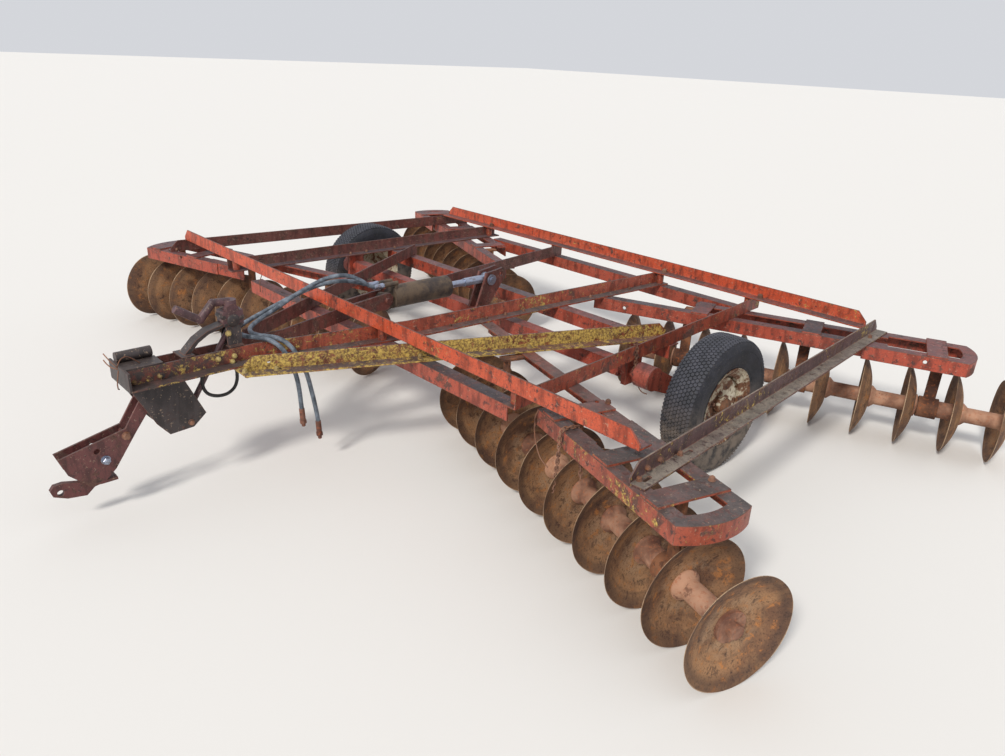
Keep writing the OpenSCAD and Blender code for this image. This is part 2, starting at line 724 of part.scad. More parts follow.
module drawbar() {
    near = tongue_mid + bar_width / 2 - bar_thick;
    far = tongue_mid - bar_width / 2;
    color(rust) difference() {
        union() {
            for (x = [far, near]) {
                side_plate(x, bar_thick, [for (p = [[-35, 2], [-31, 20], [-17, 35], [0, 38], [20, 33], [34, 18],
                    [38, -2], [33, -18], [-134, -241], [-235, -384], [-295, -438], [-347, -434], [-423, -354],
                    [-450, -274], [-175, -212]]) hinge + p]);
            }
            translate([far, hinge.x + front_y - 295, hinge.y - 438]) cube([bar_width, 60, 12]);
            side_plate(tongue_mid - 12, 24, [for (p = [[-495, -418], [-479, -398], [-442, -396], [-335, -426],
                [-235, -426], [-235, -438], [-325, -454], [-360, -484], [-435, -472], [-487, -446]]) hinge + p]);
            cross_pin(far, hinge + [-176, -244], 11, bar_width);
        }
        cross_pin(far - 1, hinge, hinge_r + fit, bar_width + 2);
        cross_pin(far - 1, hinge + [-300, -282], cross_hole_r, bar_width + 2);
        cross_pin(far - 1, hinge + [-457, -438], 14, bar_width + 2);
    }
}

// Levelling crank: casting, bent handle and the screw down to the bracket's bolt
module levelling_crank() {
    screw = [-652, rail_top + 101] - screw_foot;
    color(rust) translate([tongue_mid, front_y, 0]) {
        translate([-34, -700, rail_top + 101]) cube([68, 96, 70]);
        translate([-34, -652, rail_top + 171]) rotate([0, 90, 0]) cylinder(r = 30, h = 68, $fn = 32);
        translate([0, -652, rail_top + 101]) cylinder(r = 32, h = 116, $fn = 32);
        for (s = [[-652, 207, -729, 213], [-729, 213, -791, 145], [-791, 145, -898, 216]])
            translate([0, s[0], rail_top + s[1]]) rotate([atan2(s[3] - s[1], s[2] - s[0]), 0, 0])
                rotate([-90, 0, 0]) cylinder(r = crank_r, h = norm([s[2] - s[0], s[3] - s[1]]), $fn = 24);
        for (s = [[-729, 213], [-791, 145]]) translate([0, s[0], rail_top + s[1]]) sphere(r = crank_r + 1, $fn = 24);
        translate([0, screw_foot.x, screw_foot.y]) rotate([atan2(screw.y, screw.x), 0, 0]) rotate([-90, 0, 0])
            difference() {
                translate([0, 0, 11]) cylinder(r = 13, h = norm(screw) - 11, $fn = 24);
                rotate([0, 90, 0]) translate([0, 0, -40]) cylinder(r = 12, h = 80, $fn = 40);
            }
    }
}

// Curved strap that stays the crank's casting on the tongue
module crank_strap() {
    color(rust) {
        translate([tongue_right - wall, front_y - 910, rail_top]) cube([tongue_left - tongue_right + 2 * wall, 60, 8]);
        side_plate(tongue_mid - 30, 60, [for (p = [[-890, 8], [-862, 8], [-820, 51], [-770, 81],
            [-700, 99], [-700, 115], [-776, 97], [-832, 65]]) [p.x, p.y + rail_top]]);
        translate([tongue_right - wall, front_y - 690, rail_top]) cube([tongue_left - tongue_right + 2 * wall, 70, 8]);
        for (x = [tongue_mid - 34, tongue_mid + 24])
            translate([x, front_y - 690, rail_top + 8]) cube([10, 70, 93]);
    }
}

module hose_a() {
    color(grey) hose(hose_a_path);
}

module hose_b() {
    color(grey) hose(hose_b_path);
}

front_cross_angle();
rear_cross_angle();
main_rail_left();
main_rail_right();
outer_rail_left();
outer_rail_right();
centre_beam_left();
centre_beam_right();
tongue_brace_left();
tongue_brace_right();
front_tie_bar();
rear_tie_bar();
middle_tie_bar();
spacer_sleeves();
gang_frame_front_left();
gang_frame_front_right();
gang_frame_rear_left();
gang_frame_rear_right();
hangers_front_left();
hangers_front_right();
hangers_rear_left();
hangers_rear_right();
discs_front_left();
discs_front_right();
discs_rear_left();
discs_rear_right();
spools_front_left();
spools_front_right();
spools_rear_left();
spools_rear_right();
rock_bearings();
rockshaft();
wheel_arm_left();
wheel_arm_right();
rim_left();
rim_right();
tyre_left();
tyre_right();
lift_arm();
cylinder_anchor();
cylinder_barrel();
cylinder_rod();
hitch_head();
hitch_bracket();
drawbar();
levelling_crank();
crank_strap();
hose_a();
hose_b();
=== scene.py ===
import bpy
import bmesh
import json
import math
import random
from mathutils import Matrix, Vector


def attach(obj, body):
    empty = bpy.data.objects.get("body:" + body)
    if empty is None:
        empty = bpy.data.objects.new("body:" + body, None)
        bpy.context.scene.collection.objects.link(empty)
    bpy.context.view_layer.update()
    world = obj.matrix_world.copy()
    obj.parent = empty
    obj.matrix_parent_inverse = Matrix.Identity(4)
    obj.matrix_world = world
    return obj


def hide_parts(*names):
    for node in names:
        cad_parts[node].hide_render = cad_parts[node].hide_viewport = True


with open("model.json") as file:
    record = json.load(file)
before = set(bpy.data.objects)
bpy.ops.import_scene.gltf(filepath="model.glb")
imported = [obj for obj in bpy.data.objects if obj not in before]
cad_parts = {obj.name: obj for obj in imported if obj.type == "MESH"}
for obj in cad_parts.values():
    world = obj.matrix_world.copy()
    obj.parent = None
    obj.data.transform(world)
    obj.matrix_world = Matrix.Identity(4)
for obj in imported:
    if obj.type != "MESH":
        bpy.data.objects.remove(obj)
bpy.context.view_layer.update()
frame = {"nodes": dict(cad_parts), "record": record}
nodes = frame["nodes"]
body_of_node = {n: b for b, group in frame["record"]["behaviour"]["bodies"].items() for n in group}

# Camera: where the photographer stood, ahead of the left front gang and looking back across the harrow.
# The view is a little down and rolled slightly, through a 27.5 mm lens.
sight = Matrix(((0.68272, -0.31093, 0.66122), (0.72940, 0.23641, -0.64194), (0.04328, 0.92056, 0.38819)))
viewpoint = Matrix.Translation((3.3536, -2.6653, 1.9394))
camera = bpy.data.objects.new("camera", bpy.data.cameras.new("camera"))
camera.matrix_world = viewpoint @ sight.to_4x4()
camera.data.sensor_fit = "HORIZONTAL"
camera.data.sensor_width = 36
camera.data.lens = 27.54
camera.data.clip_end = 500
bpy.context.scene.collection.objects.link(camera)
bpy.context.scene.camera = camera

# Hoses: two rubber hydraulic hoses from the cylinder's fittings, arched over the front cross angle,
# turned back across the tongue and hanging inside the left brace, with rusted steel ends, and a thin
# black loop that hangs under the left centre beam.
front_y = -0.597
hose_radius = 0.011
hose_routes = {
    "hose_a": [(76, 201, 781), (76, 178, 781), (76, 155, 781), (72, 112, 797), (56, 66, 831), (28, 0, 857),
               (-16, -90, 843), (-54, -220, 783), (-74, -340, 717), (-70, -440, 677), (-30, -505, 661),
               (34, -530, 659), (96, -520, 661), (150, -500, 667), (200, -475, 665), (248, -450, 641),
               (284, -425, 585), (300, -400, 505), (300, -380, 415), (292, -360, 325), (284, -345, 245),
               (282, -338, 157)],
    "hose_b": [(24, 201, 781), (24, 178, 781), (24, 155, 781), (18, 112, 793), (0, 60, 809), (-36, -10, 813),
               (-82, -110, 791), (-114, -240, 745), (-130, -370, 695), (-116, -480, 665), (-70, -550, 657),
               (0, -580, 658), (70, -575, 661), (130, -550, 667), (190, -520, 665), (236, -490, 637),
               (262, -462, 575), (272, -440, 495), (266, -425, 415), (258, -415, 325), (254, -408, 235)],
}
loop_radius = 0.008
loop_points = [(100, -806, 567), (100, -812, 545), (100, -818, 510), (100, -816, 470), (100, -800, 438),
               (100, -770, 418), (100, -735, 410), (100, -700, 414), (100, -670, 434), (100, -655, 465),
               (100, -651, 500), (100, -653, 535), (100, -658, 567)]


class Value:
    """A node's output in a shader or geometry tree, with the sums that masks need."""

    def __init__(self, tree, socket=None):
        self.tree = tree
        self.socket = socket

    def node(self, kind, settings=None, sockets=None, out=0):
        made = self.tree.nodes.new(kind)
        for name, value in (settings or {}).items():
            setattr(made, name, value)
        for name, value in (sockets or {}).items():
            if isinstance(value, Value):
                self.tree.links.new(value.socket, made.inputs[name])
            else:
                made.inputs[name].default_value = value
        return Value(self.tree, made.outputs[out])

    def sum(self, operation, *values):
        return self.node("ShaderNodeMath", {"operation": operation}, dict(enumerate(values)))

    def __add__(self, other):
        return self.sum("ADD", self, other)

    def __sub__(self, other):
        return self.sum("SUBTRACT", self, other)

    def __rsub__(self, other):
        return self.sum("SUBTRACT", other, self)

    def __mul__(self, other):
        return self.sum("MULTIPLY", self, other)

    __radd__ = __add__
    __rmul__ = __mul__

    def between(self, low, high):
        return self.node("ShaderNodeMapRange", {"interpolation_type": "SMOOTHSTEP"},
                         {"Value": self, "From Min": low, "From Max": high})

    def tint(self, under, over):
        return self.node("ShaderNodeMix", {"data_type": "RGBA"}, {0: self, 6: under, 7: over}, out=2)


class Finish(Value):
    """A material that is being mixed: its patterns, and the coat that they end in."""

    def __init__(self, name):
        self.material = bpy.data.materials.new(name)
        self.material.use_nodes = True
        super().__init__(self.material.node_tree)
        self.coat = self.tree.nodes["Principled BSDF"]
        self.place = self.node("ShaderNodeTexCoord", out=3)
        facing = self.node("ShaderNodeTexCoord", out=1)
        self.up = self.node("ShaderNodeSeparateXYZ", sockets={0: facing}, out=2)

    def spread(self, scale, detail=4, rough=0.6, stretch=None, warp=0.0, at=None):
        place = at or self.place
        if stretch:
            place = self.node("ShaderNodeVectorMath", {"operation": "MULTIPLY"}, {0: place, 1: stretch})
        return self.node("ShaderNodeTexNoise", None, {"Vector": place, "Scale": scale, "Detail": detail,
                                                      "Roughness": rough, "Distortion": warp})

    def finish(self, colour, rough, height=None, depth=0.0, metal=0.0):
        for name, value in (("Base Color", colour), ("Roughness", rough), ("Metallic", metal)):
            if isinstance(value, Value):
                self.tree.links.new(value.socket, self.coat.inputs[name])
            else:
                self.coat.inputs[name].default_value = value
        if height:
            bump = self.node("ShaderNodeBump", None, {"Height": height, "Distance": depth, "Strength": 1.0})
            self.tree.links.new(bump.socket, self.coat.inputs["Normal"])
        return self.material


def shade(red, green, blue):
    return tuple((c / 255 / 12.92) if c < 10 else ((c / 255 + 0.055) / 1.055) ** 2.4
                 for c in (red, green, blue)) + (1.0,)


def rusted(name, pale=(150, 104, 74), dark=(66, 42, 32), orange=(158, 88, 44)):
    mix = Finish(name)
    broad = mix.spread(5, 5)
    fine = mix.spread(60, 6, 0.7)
    colour = broad.between(0.35, 0.65).tint(shade(*dark), shade(*pale))
    colour = (fine.between(0.5, 0.68) * 0.7).tint(colour, shade(*orange))
    colour = (mix.spread(17, 5, 0.7).between(0.56, 0.66) * 0.75).tint(colour, shade(*dark))
    return mix.finish(colour, 0.78 + 0.18 * fine, fine + 0.6 * broad, 0.0016, 0.15)


def rubber(name, dark=(58, 66, 76), pale=(122, 132, 144)):
    mix = Finish(name)
    scuff = mix.spread(24, 5, 0.65)
    colour = scuff.between(0.35, 0.7).tint(shade(*dark), shade(*pale))
    return mix.finish(colour, 0.5 + 0.25 * scuff, mix.spread(220, 2), 0.0004)


def turn(form, profile, start, along, sides=24, hollow=False):
    """Adds a shape turned about an axis, from (distance, radius) pairs; a hollow one closes on itself."""
    along = Vector(along).normalized()
    across = along.orthogonal().normalized()
    other = along.cross(across)
    steps = [2 * math.pi * k / sides for k in range(sides)]
    rings = []
    for far, radius in profile:
        centre = Vector(start) + along * far
        if radius < 1e-6:
            rings.append([form.verts.new(centre)])
        else:
            rings.append([form.verts.new(centre + radius * (math.cos(t) * across + math.sin(t) * other))
                          for t in steps])
    for a, b in zip(rings, rings[1:] + (rings[:1] if hollow else [])):
        for k in range(sides):
            corners = [a[k % len(a)], a[(k + 1) % len(a)], b[(k + 1) % len(b)], b[k % len(b)]]
            form.faces.new(list(dict.fromkeys(corners)))
    for ring in (rings[0], rings[-1]):
        if len(ring) > 1 and not hollow:
            form.faces.new(ring)


def piece(form, name, body, material, smooth=30):
    """Makes an object of a shape, on its body and in its finish."""
    bmesh.ops.recalc_face_normals(form, faces=form.faces)
    mesh = bpy.data.meshes.new(name)
    form.to_mesh(mesh)
    form.free()
    mesh.materials.append(material)
    mesh.shade_smooth()
    mesh.set_sharp_from_angle(angle=math.radians(smooth))
    made = bpy.data.objects.new(name, mesh)
    bpy.context.scene.collection.objects.link(made)
    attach(made, body)
    return made


def smooth_route(points, steps=5):
    """Places on a smooth curve through points, with some steps from each to the next."""
    ends = [points[0], *points, points[-1]]
    route = []
    for a, b, c, d in zip(ends, ends[1:], ends[2:], ends[3:]):
        for t in [k / steps for k in range(steps)]:
            route.append(0.5 * (2 * b + (c - a) * t + (2 * a - 5 * b + 4 * c - d) * t * t
                                + (3 * b - a - 3 * c + d) * t ** 3))
    return route + [points[-1]]


def hose_along(name, points, radius, body, material):
    """A round hose as a curve through points in millimetres, and the route that it follows."""
    route = smooth_route([Vector((x, y, z)) / 1000 + Vector((0, front_y, 0)) for x, y, z in points])
    curve = bpy.data.curves.new(name, "CURVE")
    curve.dimensions = "3D"
    curve.bevel_depth = radius
    curve.bevel_resolution = 3
    curve.use_fill_caps = True
    spline = curve.splines.new("POLY")
    spline.points.add(len(route) - 1)
    for point, place in zip(spline.points, route):
        point.co = (*place, 1)
    curve.materials.append(material)
    hose = bpy.data.objects.new(name, curve)
    bpy.context.scene.collection.objects.link(hose)
    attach(hose, body)
    return hose, route, round(sum((b - a).length for a, b in zip(route, route[1:])), 3)


ferrule = [(-0.075, 0.0112), (-0.072, 0.0135), (-0.012, 0.0135), (-0.010, 0.011)]
swivel_nut = [(-0.010, 0.017), (0.008, 0.017)]
hose_tip = [(0.008, 0.0095), (0.024, 0.0095), (0.026, 0.008)]
hose_rubber = rubber("hose rubber")
fitting_rust = rusted("rusted fittings", (140, 100, 84), (80, 50, 42), (166, 92, 60))
for name, points in hose_routes.items():
    hose, route, length = hose_along(name + "_rubber", points, hose_radius, "barrel", hose_rubber)
    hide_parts(name)
    form = bmesh.new()
    down = (route[-1] - route[-4]).normalized()
    turn(form, ferrule, route[-1], down)
    turn(form, swivel_nut, route[-1], down, 6)
    turn(form, hose_tip, route[-1], down, 16)
    end = piece(form, name + "_end", "barrel", fitting_rust)
loop, route, length = hose_along("tongue_loop", loop_points, loop_radius, "frame",
                                 rubber("black loop rubber", (20, 20, 22), (58, 56, 56)))

# Floor and light: a plain pale floor under a soft warm light from high behind the camera, a little to
# its left, with an even pale sky behind.
floor_half = 90
floor = bpy.data.objects.new("floor", bpy.data.meshes.new("floor"))
corners = [(x * floor_half, y * floor_half, 0) for x, y in ((-1, -1), (1, -1), (1, 1), (-1, 1))]
floor.data.from_pydata(corners, [], [(0, 1, 2, 3)])
floor_mix = Finish("pale floor")
floor.data.materials.append(floor_mix.finish(shade(226, 224, 220), 0.9))
bpy.context.scene.collection.objects.link(floor)
sun = bpy.data.objects.new("sun", bpy.data.lights.new("sun", "SUN"))
sun.data.energy = 2.5
sun.data.angle = math.radians(10)
sun.data.color = (1.0, 0.96, 0.9)
sun.matrix_world = Vector((0.25, -0.85, 0.75)).to_track_quat("Z", "Y").to_matrix().to_4x4()
bpy.context.scene.collection.objects.link(sun)
world = bpy.data.worlds.new("sky")
world.use_nodes = True
bpy.context.scene.world = world
sky = Value(world.node_tree)
seen = sky.node("ShaderNodeLightPath", out=0).sum("MAXIMUM", sky.node("ShaderNodeLightPath", out=3))
strength = 0.42 + 0.58 * seen
world.node_tree.links.new(strength.socket, world.node_tree.nodes["Background"].inputs["Strength"])
world.node_tree.nodes["Background"].inputs["Color"].default_value = (0.93, 0.95, 1.0, 1)
bpy.context.scene.view_settings.view_transform = "Standard"


# Frame: rolled angles, welded plates and tie bars in orange-red paint that has faded, with rust
# along the edges, grey upper faces that are partly dust and stains and partly painted shade, and lichen on
# the parts that stay damp.
def old_paint(name, paint, rusty=0.5, stain_and_shade=0.5, lichen=0.0, top=(84, 76, 80), sooty_from=None):
    mix = Finish(name)
    broad = mix.spread(1.3, 3)
    patch = mix.spread(9, 6, 0.68, warp=0.5)
    speck = mix.spread(70, 5, 0.72)
    chips = mix.spread(31, 6, 0.75, warp=0.3)
    edge = mix.node("ShaderNodeAttribute", {"attribute_name": "edge"}, out=2)
    facing = mix.up.between(0.5, 0.95)
    pale = shade(*[min(255, int(c * 0.86 + 22)) for c in paint])
    colour = broad.between(0.3, 0.7).tint(shade(*paint), pale)
    colour = (mix.spread(24, 4, 0.6, stretch=(1, 1, 0.3)).between(0.44, 0.64) * 0.75).tint(
        colour, shade(*[int(c * 0.6) for c in paint]))
    worn = (patch + 0.3 * (chips - 0.5) + 0.25 * edge).between(0.74 - 0.3 * rusty, 0.8 - 0.28 * rusty)
    colour = (worn * 0.9).tint(colour, chips.between(0.4, 0.62).tint(shade(78, 52, 48), shade(104, 74, 62)))
    # Upward faces are tinted towards the top colour: partly dust and weathered paint, partly painted light
    # and shade of how the light falls on them.
    tops = facing * (0.6 + 0.4 * broad.between(0.35, 0.6)) * (1 - 0.55 * chips.between(0.52, 0.62)) * stain_and_shade
    top_dark = shade(*[int(c * 0.72) for c in top])
    colour = tops.tint(colour, mix.spread(16, 5, 0.7).between(0.35, 0.65).tint(top_dark, shade(*top)))
    colour = (chips.between(0.56, 0.62) * 0.8).tint(colour, shade(54, 38, 36))
    colour = (mix.spread(150, 3, 0.7).between(0.48, 0.66) * 0.4).tint(colour, shade(58, 42, 40))
    colour = (speck.between(0.6, 0.66) * 0.6).tint(colour, shade(168, 144, 122))
    colour = (edge * speck.between(0.38, 0.52) * 0.7).tint(colour, shade(118, 78, 62))
    height = 0.5 * worn + 0.3 * speck + 0.3 * chips
    if sooty_from is not None:
        rearward = mix.node("ShaderNodeSeparateXYZ", sockets={0: mix.place}, out=1)
        sooty = (rearward + 0.5 * (patch - 0.5)).between(sooty_from + 0.12, sooty_from - 0.12)
        colour = (sooty * (0.6 + 0.4 * chips.between(0.4, 0.6))).tint(colour, shade(58, 48, 46))
    if lichen:
        crust = mix.spread(34, 6, 0.78, warp=0.6)
        grown = (crust + 0.5 * (mix.spread(2.3, 3) - 0.5) - 0.12 * facing).between(0.68 - 0.26 * lichen,
                                                                                   0.75 - 0.22 * lichen)
        yellow = mix.spread(90, 4, 0.7).between(0.35, 0.62).tint(shade(112, 88, 50), shade(208, 178, 92))
        colour = (grown * 0.92).tint(colour, yellow)
        colour = (chips.between(0.54, 0.6) * grown * 0.55).tint(colour, shade(92, 62, 48))
        height = height + 0.9 * grown * crust
    return mix.finish(colour, 0.5 + 0.35 * worn + 0.15 * tops, height, 0.0013)


def pierced(form, slots):
    """Cuts oblong or round holes, each (place, through, along, length, width), in metres."""
    if not slots:
        return form
    cutter = bmesh.new()
    count = 16
    depth = 0.02
    for place, through, along, length, width in slots:
        through, along = Vector(through).normalized(), Vector(along).normalized()
        across = through.cross(along)
        rings = [[], []]
        for k in range(count):
            angle = 2 * math.pi * (k + 0.5) / count
            shift = math.copysign(length / 2 - width / 2, math.cos(angle)) + width / 2 * math.cos(angle)
            spot = Vector(place) + along * shift + across * width / 2 * math.sin(angle)
            rings[0].append(cutter.verts.new(spot - through * depth))
            rings[1].append(cutter.verts.new(spot + through * depth))
        for k in range(count):
            after = (k + 1) % count
            cutter.faces.new((rings[0][k], rings[0][after], rings[1][after], rings[1][k]))
        cutter.faces.new(rings[0])
        cutter.faces.new(rings[1])
    bmesh.ops.recalc_face_normals(cutter, faces=cutter.faces)
    made = []
    for label, shape in (("plate", form), ("cutter", cutter)):
        mesh = bpy.data.meshes.new(label)
        shape.to_mesh(mesh)
        shape.free()
        made.append(bpy.data.objects.new(label, mesh))
        bpy.context.scene.collection.objects.link(made[-1])
    cut = made[0].modifiers.new("cut", "BOOLEAN")
    cut.operation, cut.solver, cut.object = "DIFFERENCE", "EXACT", made[1]
    bpy.context.view_layer.update()
    result = bpy.data.meshes.new_from_object(made[0].evaluated_get(bpy.context.evaluated_depsgraph_get()))
    for spent in made:
        bpy.data.objects.remove(spent)
    form = bmesh.new()
    form.from_mesh(result)
    return form


def worn_copy(node, material, bevel=0.0016, slots=()):
    """A copy of a plate or rolled piece with its corners worn round, standing for the plain one."""
    form = bmesh.new()
    form.from_mesh(nodes[node].data)
    same_place = 2e-5
    flat_within = math.radians(0.4)
    sharp_from = math.radians(35)
    bmesh.ops.remove_doubles(form, verts=form.verts, dist=same_place)
    bmesh.ops.dissolve_limit(form, angle_limit=flat_within, verts=form.verts, edges=form.edges)
    form = pierced(form, slots)
    edge = form.faces.layers.float.new("edge")
    sharp = [e for e in form.edges if len(e.link_faces) == 2 and e.calc_face_angle(0) > sharp_from]
    made = bmesh.ops.bevel(form, geom=sharp, offset=bevel, offset_type="OFFSET", segments=2, profile=0.5,
                           affect="EDGES", clamp_overlap=True)
    for face in made["faces"]:
        face[edge] = 1
    worn = piece(form, node + "_worn", body_of_node[node], material, 20)
    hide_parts(node)
    return worn


red = old_paint("faded red paint", (192, 74, 40), 0.42, 0.95, 0.1, (80, 72, 74))
# red_shaded: the faded red made darker as painted shade, with more rust besides, for the tie bars, rock
# bearings and three gang frames.
red_shaded = old_paint("weathered red paint with painted shade", (164, 66, 44), 0.55, 1.0, 0, (76, 70, 76))
red_lichen = old_paint("red paint with lichen", (156, 66, 42), 0.58, 1.0, 0.45, (88, 78, 76))
red_beam = old_paint("red paint blackened at the hitch", (156, 66, 42), 0.58, 1.0, 0.5, (88, 78, 76), -1.28)
purple = old_paint("dark rusted paint", (108, 56, 48), 0.72, 0.9, 0.1, (74, 68, 76))
outer = old_paint("dark rusted paint on the outer rails", (84, 56, 56), 0.72, 1.0, 0.36, (138, 128, 116))
yellow = old_paint("paint under lichen", (132, 68, 42), 0.6, 0.95, 1.2, (96, 84, 84))


def plan(x, y, z):
    """A place given in millimetres, y from the front cross angle's face."""
    return (x / 1000, y / 1000 + front_y, z / 1000)


upward, crosswise, lengthwise = (0, 0, 1), (1, 0, 0), (0, 1, 0)
brace_run, brace_face = (0.4, 0.92, 0), (0.92, -0.4, 0)
rail_run = (-0.073, 1, 0)
slot_width, brace_hole, frame_hole = 0.017, 0.016, 0.020
frame_slots = {
    "outer_rail_left": [(plan(x, y, 572), upward, rail_run, 0.050, slot_width)
                        for x, y in ((1992, 256), (2014, -33))],
    "tongue_brace_left": [(plan(x, y, 572), upward, brace_run, 0.045, slot_width)
                          for x, y in ((284, -656), (352, -533), (612, 66), (836, 586))]
                         + [(plan(308, -590, 611), brace_face, brace_run, brace_hole, brace_hole)],
    "gang_frame_front_left": [(plan(1474, 330, 572), upward, crosswise, frame_hole, frame_hole)],
    "gang_frame_front_right": [(plan(-1910, -89, 556), (0.29, -0.96, 0), (0.96, 0.29, 0), frame_hole,
                                frame_hole)],
    "gang_frame_rear_left": [(plan(x, y, z), (0.35, -0.94, 0), (0.94, 0.35, 0), frame_hole, frame_hole)
                             for x, y, z in ((2168, 2180, 537), (592, 1631, 526))],
}
for node, material, slot in (
        ("front_cross_angle", red, "paint"), ("rear_cross_angle", red, "paint"),
        ("main_rail_left", red_lichen, "paint"), ("main_rail_right", purple, "paint"),
        ("outer_rail_left", outer, "dark_paint"), ("outer_rail_right", purple, "dark_paint"),
        ("centre_beam_left", red_beam, "paint"), ("centre_beam_right", purple, "paint"),
        ("tongue_brace_left", yellow, "lichen"), ("tongue_brace_right", purple, "dark_paint"),
        ("front_tie_bar", red_shaded, "paint"), ("rear_tie_bar", red_shaded, "paint"),
        ("middle_tie_bar", red_shaded, "paint"), ("spacer_sleeves", red_lichen, "paint"),
        ("rock_bearings", red_shaded, "paint")):
    worn_copy(node, material, slots=frame_slots.get(node, ()))

# Bolts: hexagon heads on washers where rails cross and plates are fixed, rusted brown. A geometry tree
# sets one pattern on each point of a table, as it does the tread blocks, wheel nuts and chain links below.
def repeated(pattern, name, body, material, places, size=1.0, smooth=30):
    """Sets a shape on each of places, (point, z direction, x direction, scale), as one mesh on a body."""
    spots = bpy.data.meshes.new(name + "_spots")
    spots.from_pydata([p[0] for p in places], [], [])
    turns = spots.attributes.new("turn", "FLOAT_VECTOR", "POINT")
    grows = spots.attributes.new("grow", "FLOAT_VECTOR", "POINT")
    for i, (_, up, across, grow) in enumerate(places):
        up = Vector(up).normalized()
        side = up.cross(Vector(across)).normalized()
        turns.data[i].vector = Matrix((side.cross(up), side, up)).transposed().to_euler()
        grows.data[i].vector = grow if isinstance(grow, tuple) else (grow, grow, grow)
    mesh = bpy.data.meshes.new(name + "_pattern")
    bmesh.ops.recalc_face_normals(pattern, faces=pattern.faces)
    pattern.to_mesh(mesh)
    pattern.free()
    mesh.shade_smooth()
    mesh.set_sharp_from_angle(angle=math.radians(smooth))
    template = bpy.data.objects.new(name + "_pattern", mesh)
    carrier = bpy.data.objects.new(name + "_carrier", spots)
    bpy.context.scene.collection.objects.link(template)
    bpy.context.scene.collection.objects.link(carrier)
    tree = bpy.data.node_groups.new(name, "GeometryNodeTree")
    sockets = {}
    for label, kind in (("Spots", "Geometry"), ("Pattern", "Object"), ("Size", "Float"),
                        ("Finish", "Material"), ("Result", "Geometry")):
        way = "OUTPUT" if label == "Result" else "INPUT"
        kind = "NodeSocket" + kind
        sockets[label] = tree.interface.new_socket(label, in_out=way, socket_type=kind).identifier
    start = tree.nodes.new("NodeGroupInput")
    given = {label: Value(tree, start.outputs[label]) for label in sockets if label != "Result"}
    build = Value(tree)
    vector = {"data_type": "FLOAT_VECTOR"}
    turned = build.node("GeometryNodeInputNamedAttribute", vector, {"Name": "turn"})
    scale = build.node("GeometryNodeInputNamedAttribute", vector, {"Name": "grow"})
    scale = build.node("ShaderNodeVectorMath", {"operation": "SCALE"}, {0: scale, "Scale": given["Size"]})
    shape = build.node("GeometryNodeObjectInfo", None, {"Object": given["Pattern"]})
    shape = Value(tree, shape.socket.node.outputs["Geometry"])
    rotation = build.node("FunctionNodeEulerToRotation", None, {0: turned})
    set_on = build.node("GeometryNodeInstanceOnPoints", None, {"Points": given["Spots"], "Instance": shape,
                                                               "Rotation": rotation, "Scale": scale})
    real = build.node("GeometryNodeRealizeInstances", None, {0: set_on})
    coated = build.node("GeometryNodeSetMaterial", None, {"Geometry": real, "Material": given["Finish"]})
    tree.links.new(coated.socket, tree.nodes.new("NodeGroupOutput").inputs["Result"])
    grower = carrier.modifiers.new("grown", "NODES")
    grower.node_group = tree
    grower[sockets["Pattern"]] = template
    grower[sockets["Size"]] = size
    grower[sockets["Finish"]] = material
    bpy.context.view_layer.update()
    grown = bpy.data.meshes.new_from_object(carrier.evaluated_get(bpy.context.evaluated_depsgraph_get()))
    bpy.data.objects.remove(template)
    bpy.data.objects.remove(carrier)
    grown.name = name
    made = bpy.data.objects.new(name, grown)
    bpy.context.scene.collection.objects.link(made)
    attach(made, body)
    return made


def bolt_shape(reach=0.010, thread=0.0):
    """A hexagon head, 21 mm over its corners, on a 25 mm washer, with its foot on the origin."""
    washer = 0.0024
    face = washer + reach
    stem = reach + thread
    foot = (0, 0, 0)
    form = bmesh.new()
    turn(form, [(0, 0.0125), (washer, 0.0125)], foot, upward, 16)
    turn(form, [(washer, 0.0105), (face - 0.002, 0.0105), (face, 0.009)], foot, upward, 6)
    if thread:
        turn(form, [(0.002, 0.006), (stem - 0.0015, 0.006), (stem, 0.0045)], foot, upward, 10)
    return form


def gang_place(corner, turned_by, side, along, across, z):
    """A place from a gang's corner, in millimetres: along it outward, and across it to the rear."""
    angle = math.radians(turned_by * side)
    c, s = math.cos(angle), math.sin(angle)
    outward = abs(corner[0]) + (along * c - across * s) / 1000
    return side * outward, corner[1] + (along * s + across * c) / 1000, z / 1000


gang_corners = {"front_left": ((2.297, -0.635), -17, 1), "front_right": ((-2.297, -0.635), 17, -1),
                "rear_left": ((2.300, 1.808), 20.5, 1), "rear_right": ((-2.300, 1.808), -20.5, -1)}
bolt_rust = rusted("rusted bolts", (150, 112, 92), (84, 56, 46), (150, 96, 62))
crossing_top, flange_top, plate_top = 652, 576, 578
crossings = ((1270, 42), (1200, 2150))
plate_bolts = ((-174, 132), (-866, 149))
outer_rail_bolts = ((1984, 212), (2002, -63), (1852, 2218))
far_rail_out = 40
beam_bolts = ((335, 452), (355, 697), (366, 833), (377, 966), (421, 1505), (449, 1857))
far_rail_bolts = ((-1300, 880), (-1294, 1010), (-1278, 1249))
heads = []
for side in (-1, 1):
    corner, turned_by, _ = gang_corners["front_left" if side > 0 else "front_right"]
    for x, y in crossings:
        heads.append((plan(side * x, y, crossing_top), upward, crosswise, 1.5))
    for along, across in plate_bolts:
        place = gang_place(corner, turned_by, side, along, across, plate_top)
        heads.append((place, upward, crosswise, 1.1))
    for x, y in outer_rail_bolts:
        heads.append((plan(x if side > 0 else -x - far_rail_out, y, flange_top), upward, crosswise, 1.0))
for place in (plan(1986, -3, 600), plan(1980, 82, 602)):
    heads.append((place, crosswise, upward, 1.0))
for x, y in beam_bolts:
    heads.append((plan(x, y, flange_top), upward, crosswise, 0.8))
heads.append((plan(500, 2150, crossing_top), upward, crosswise, 1.5))
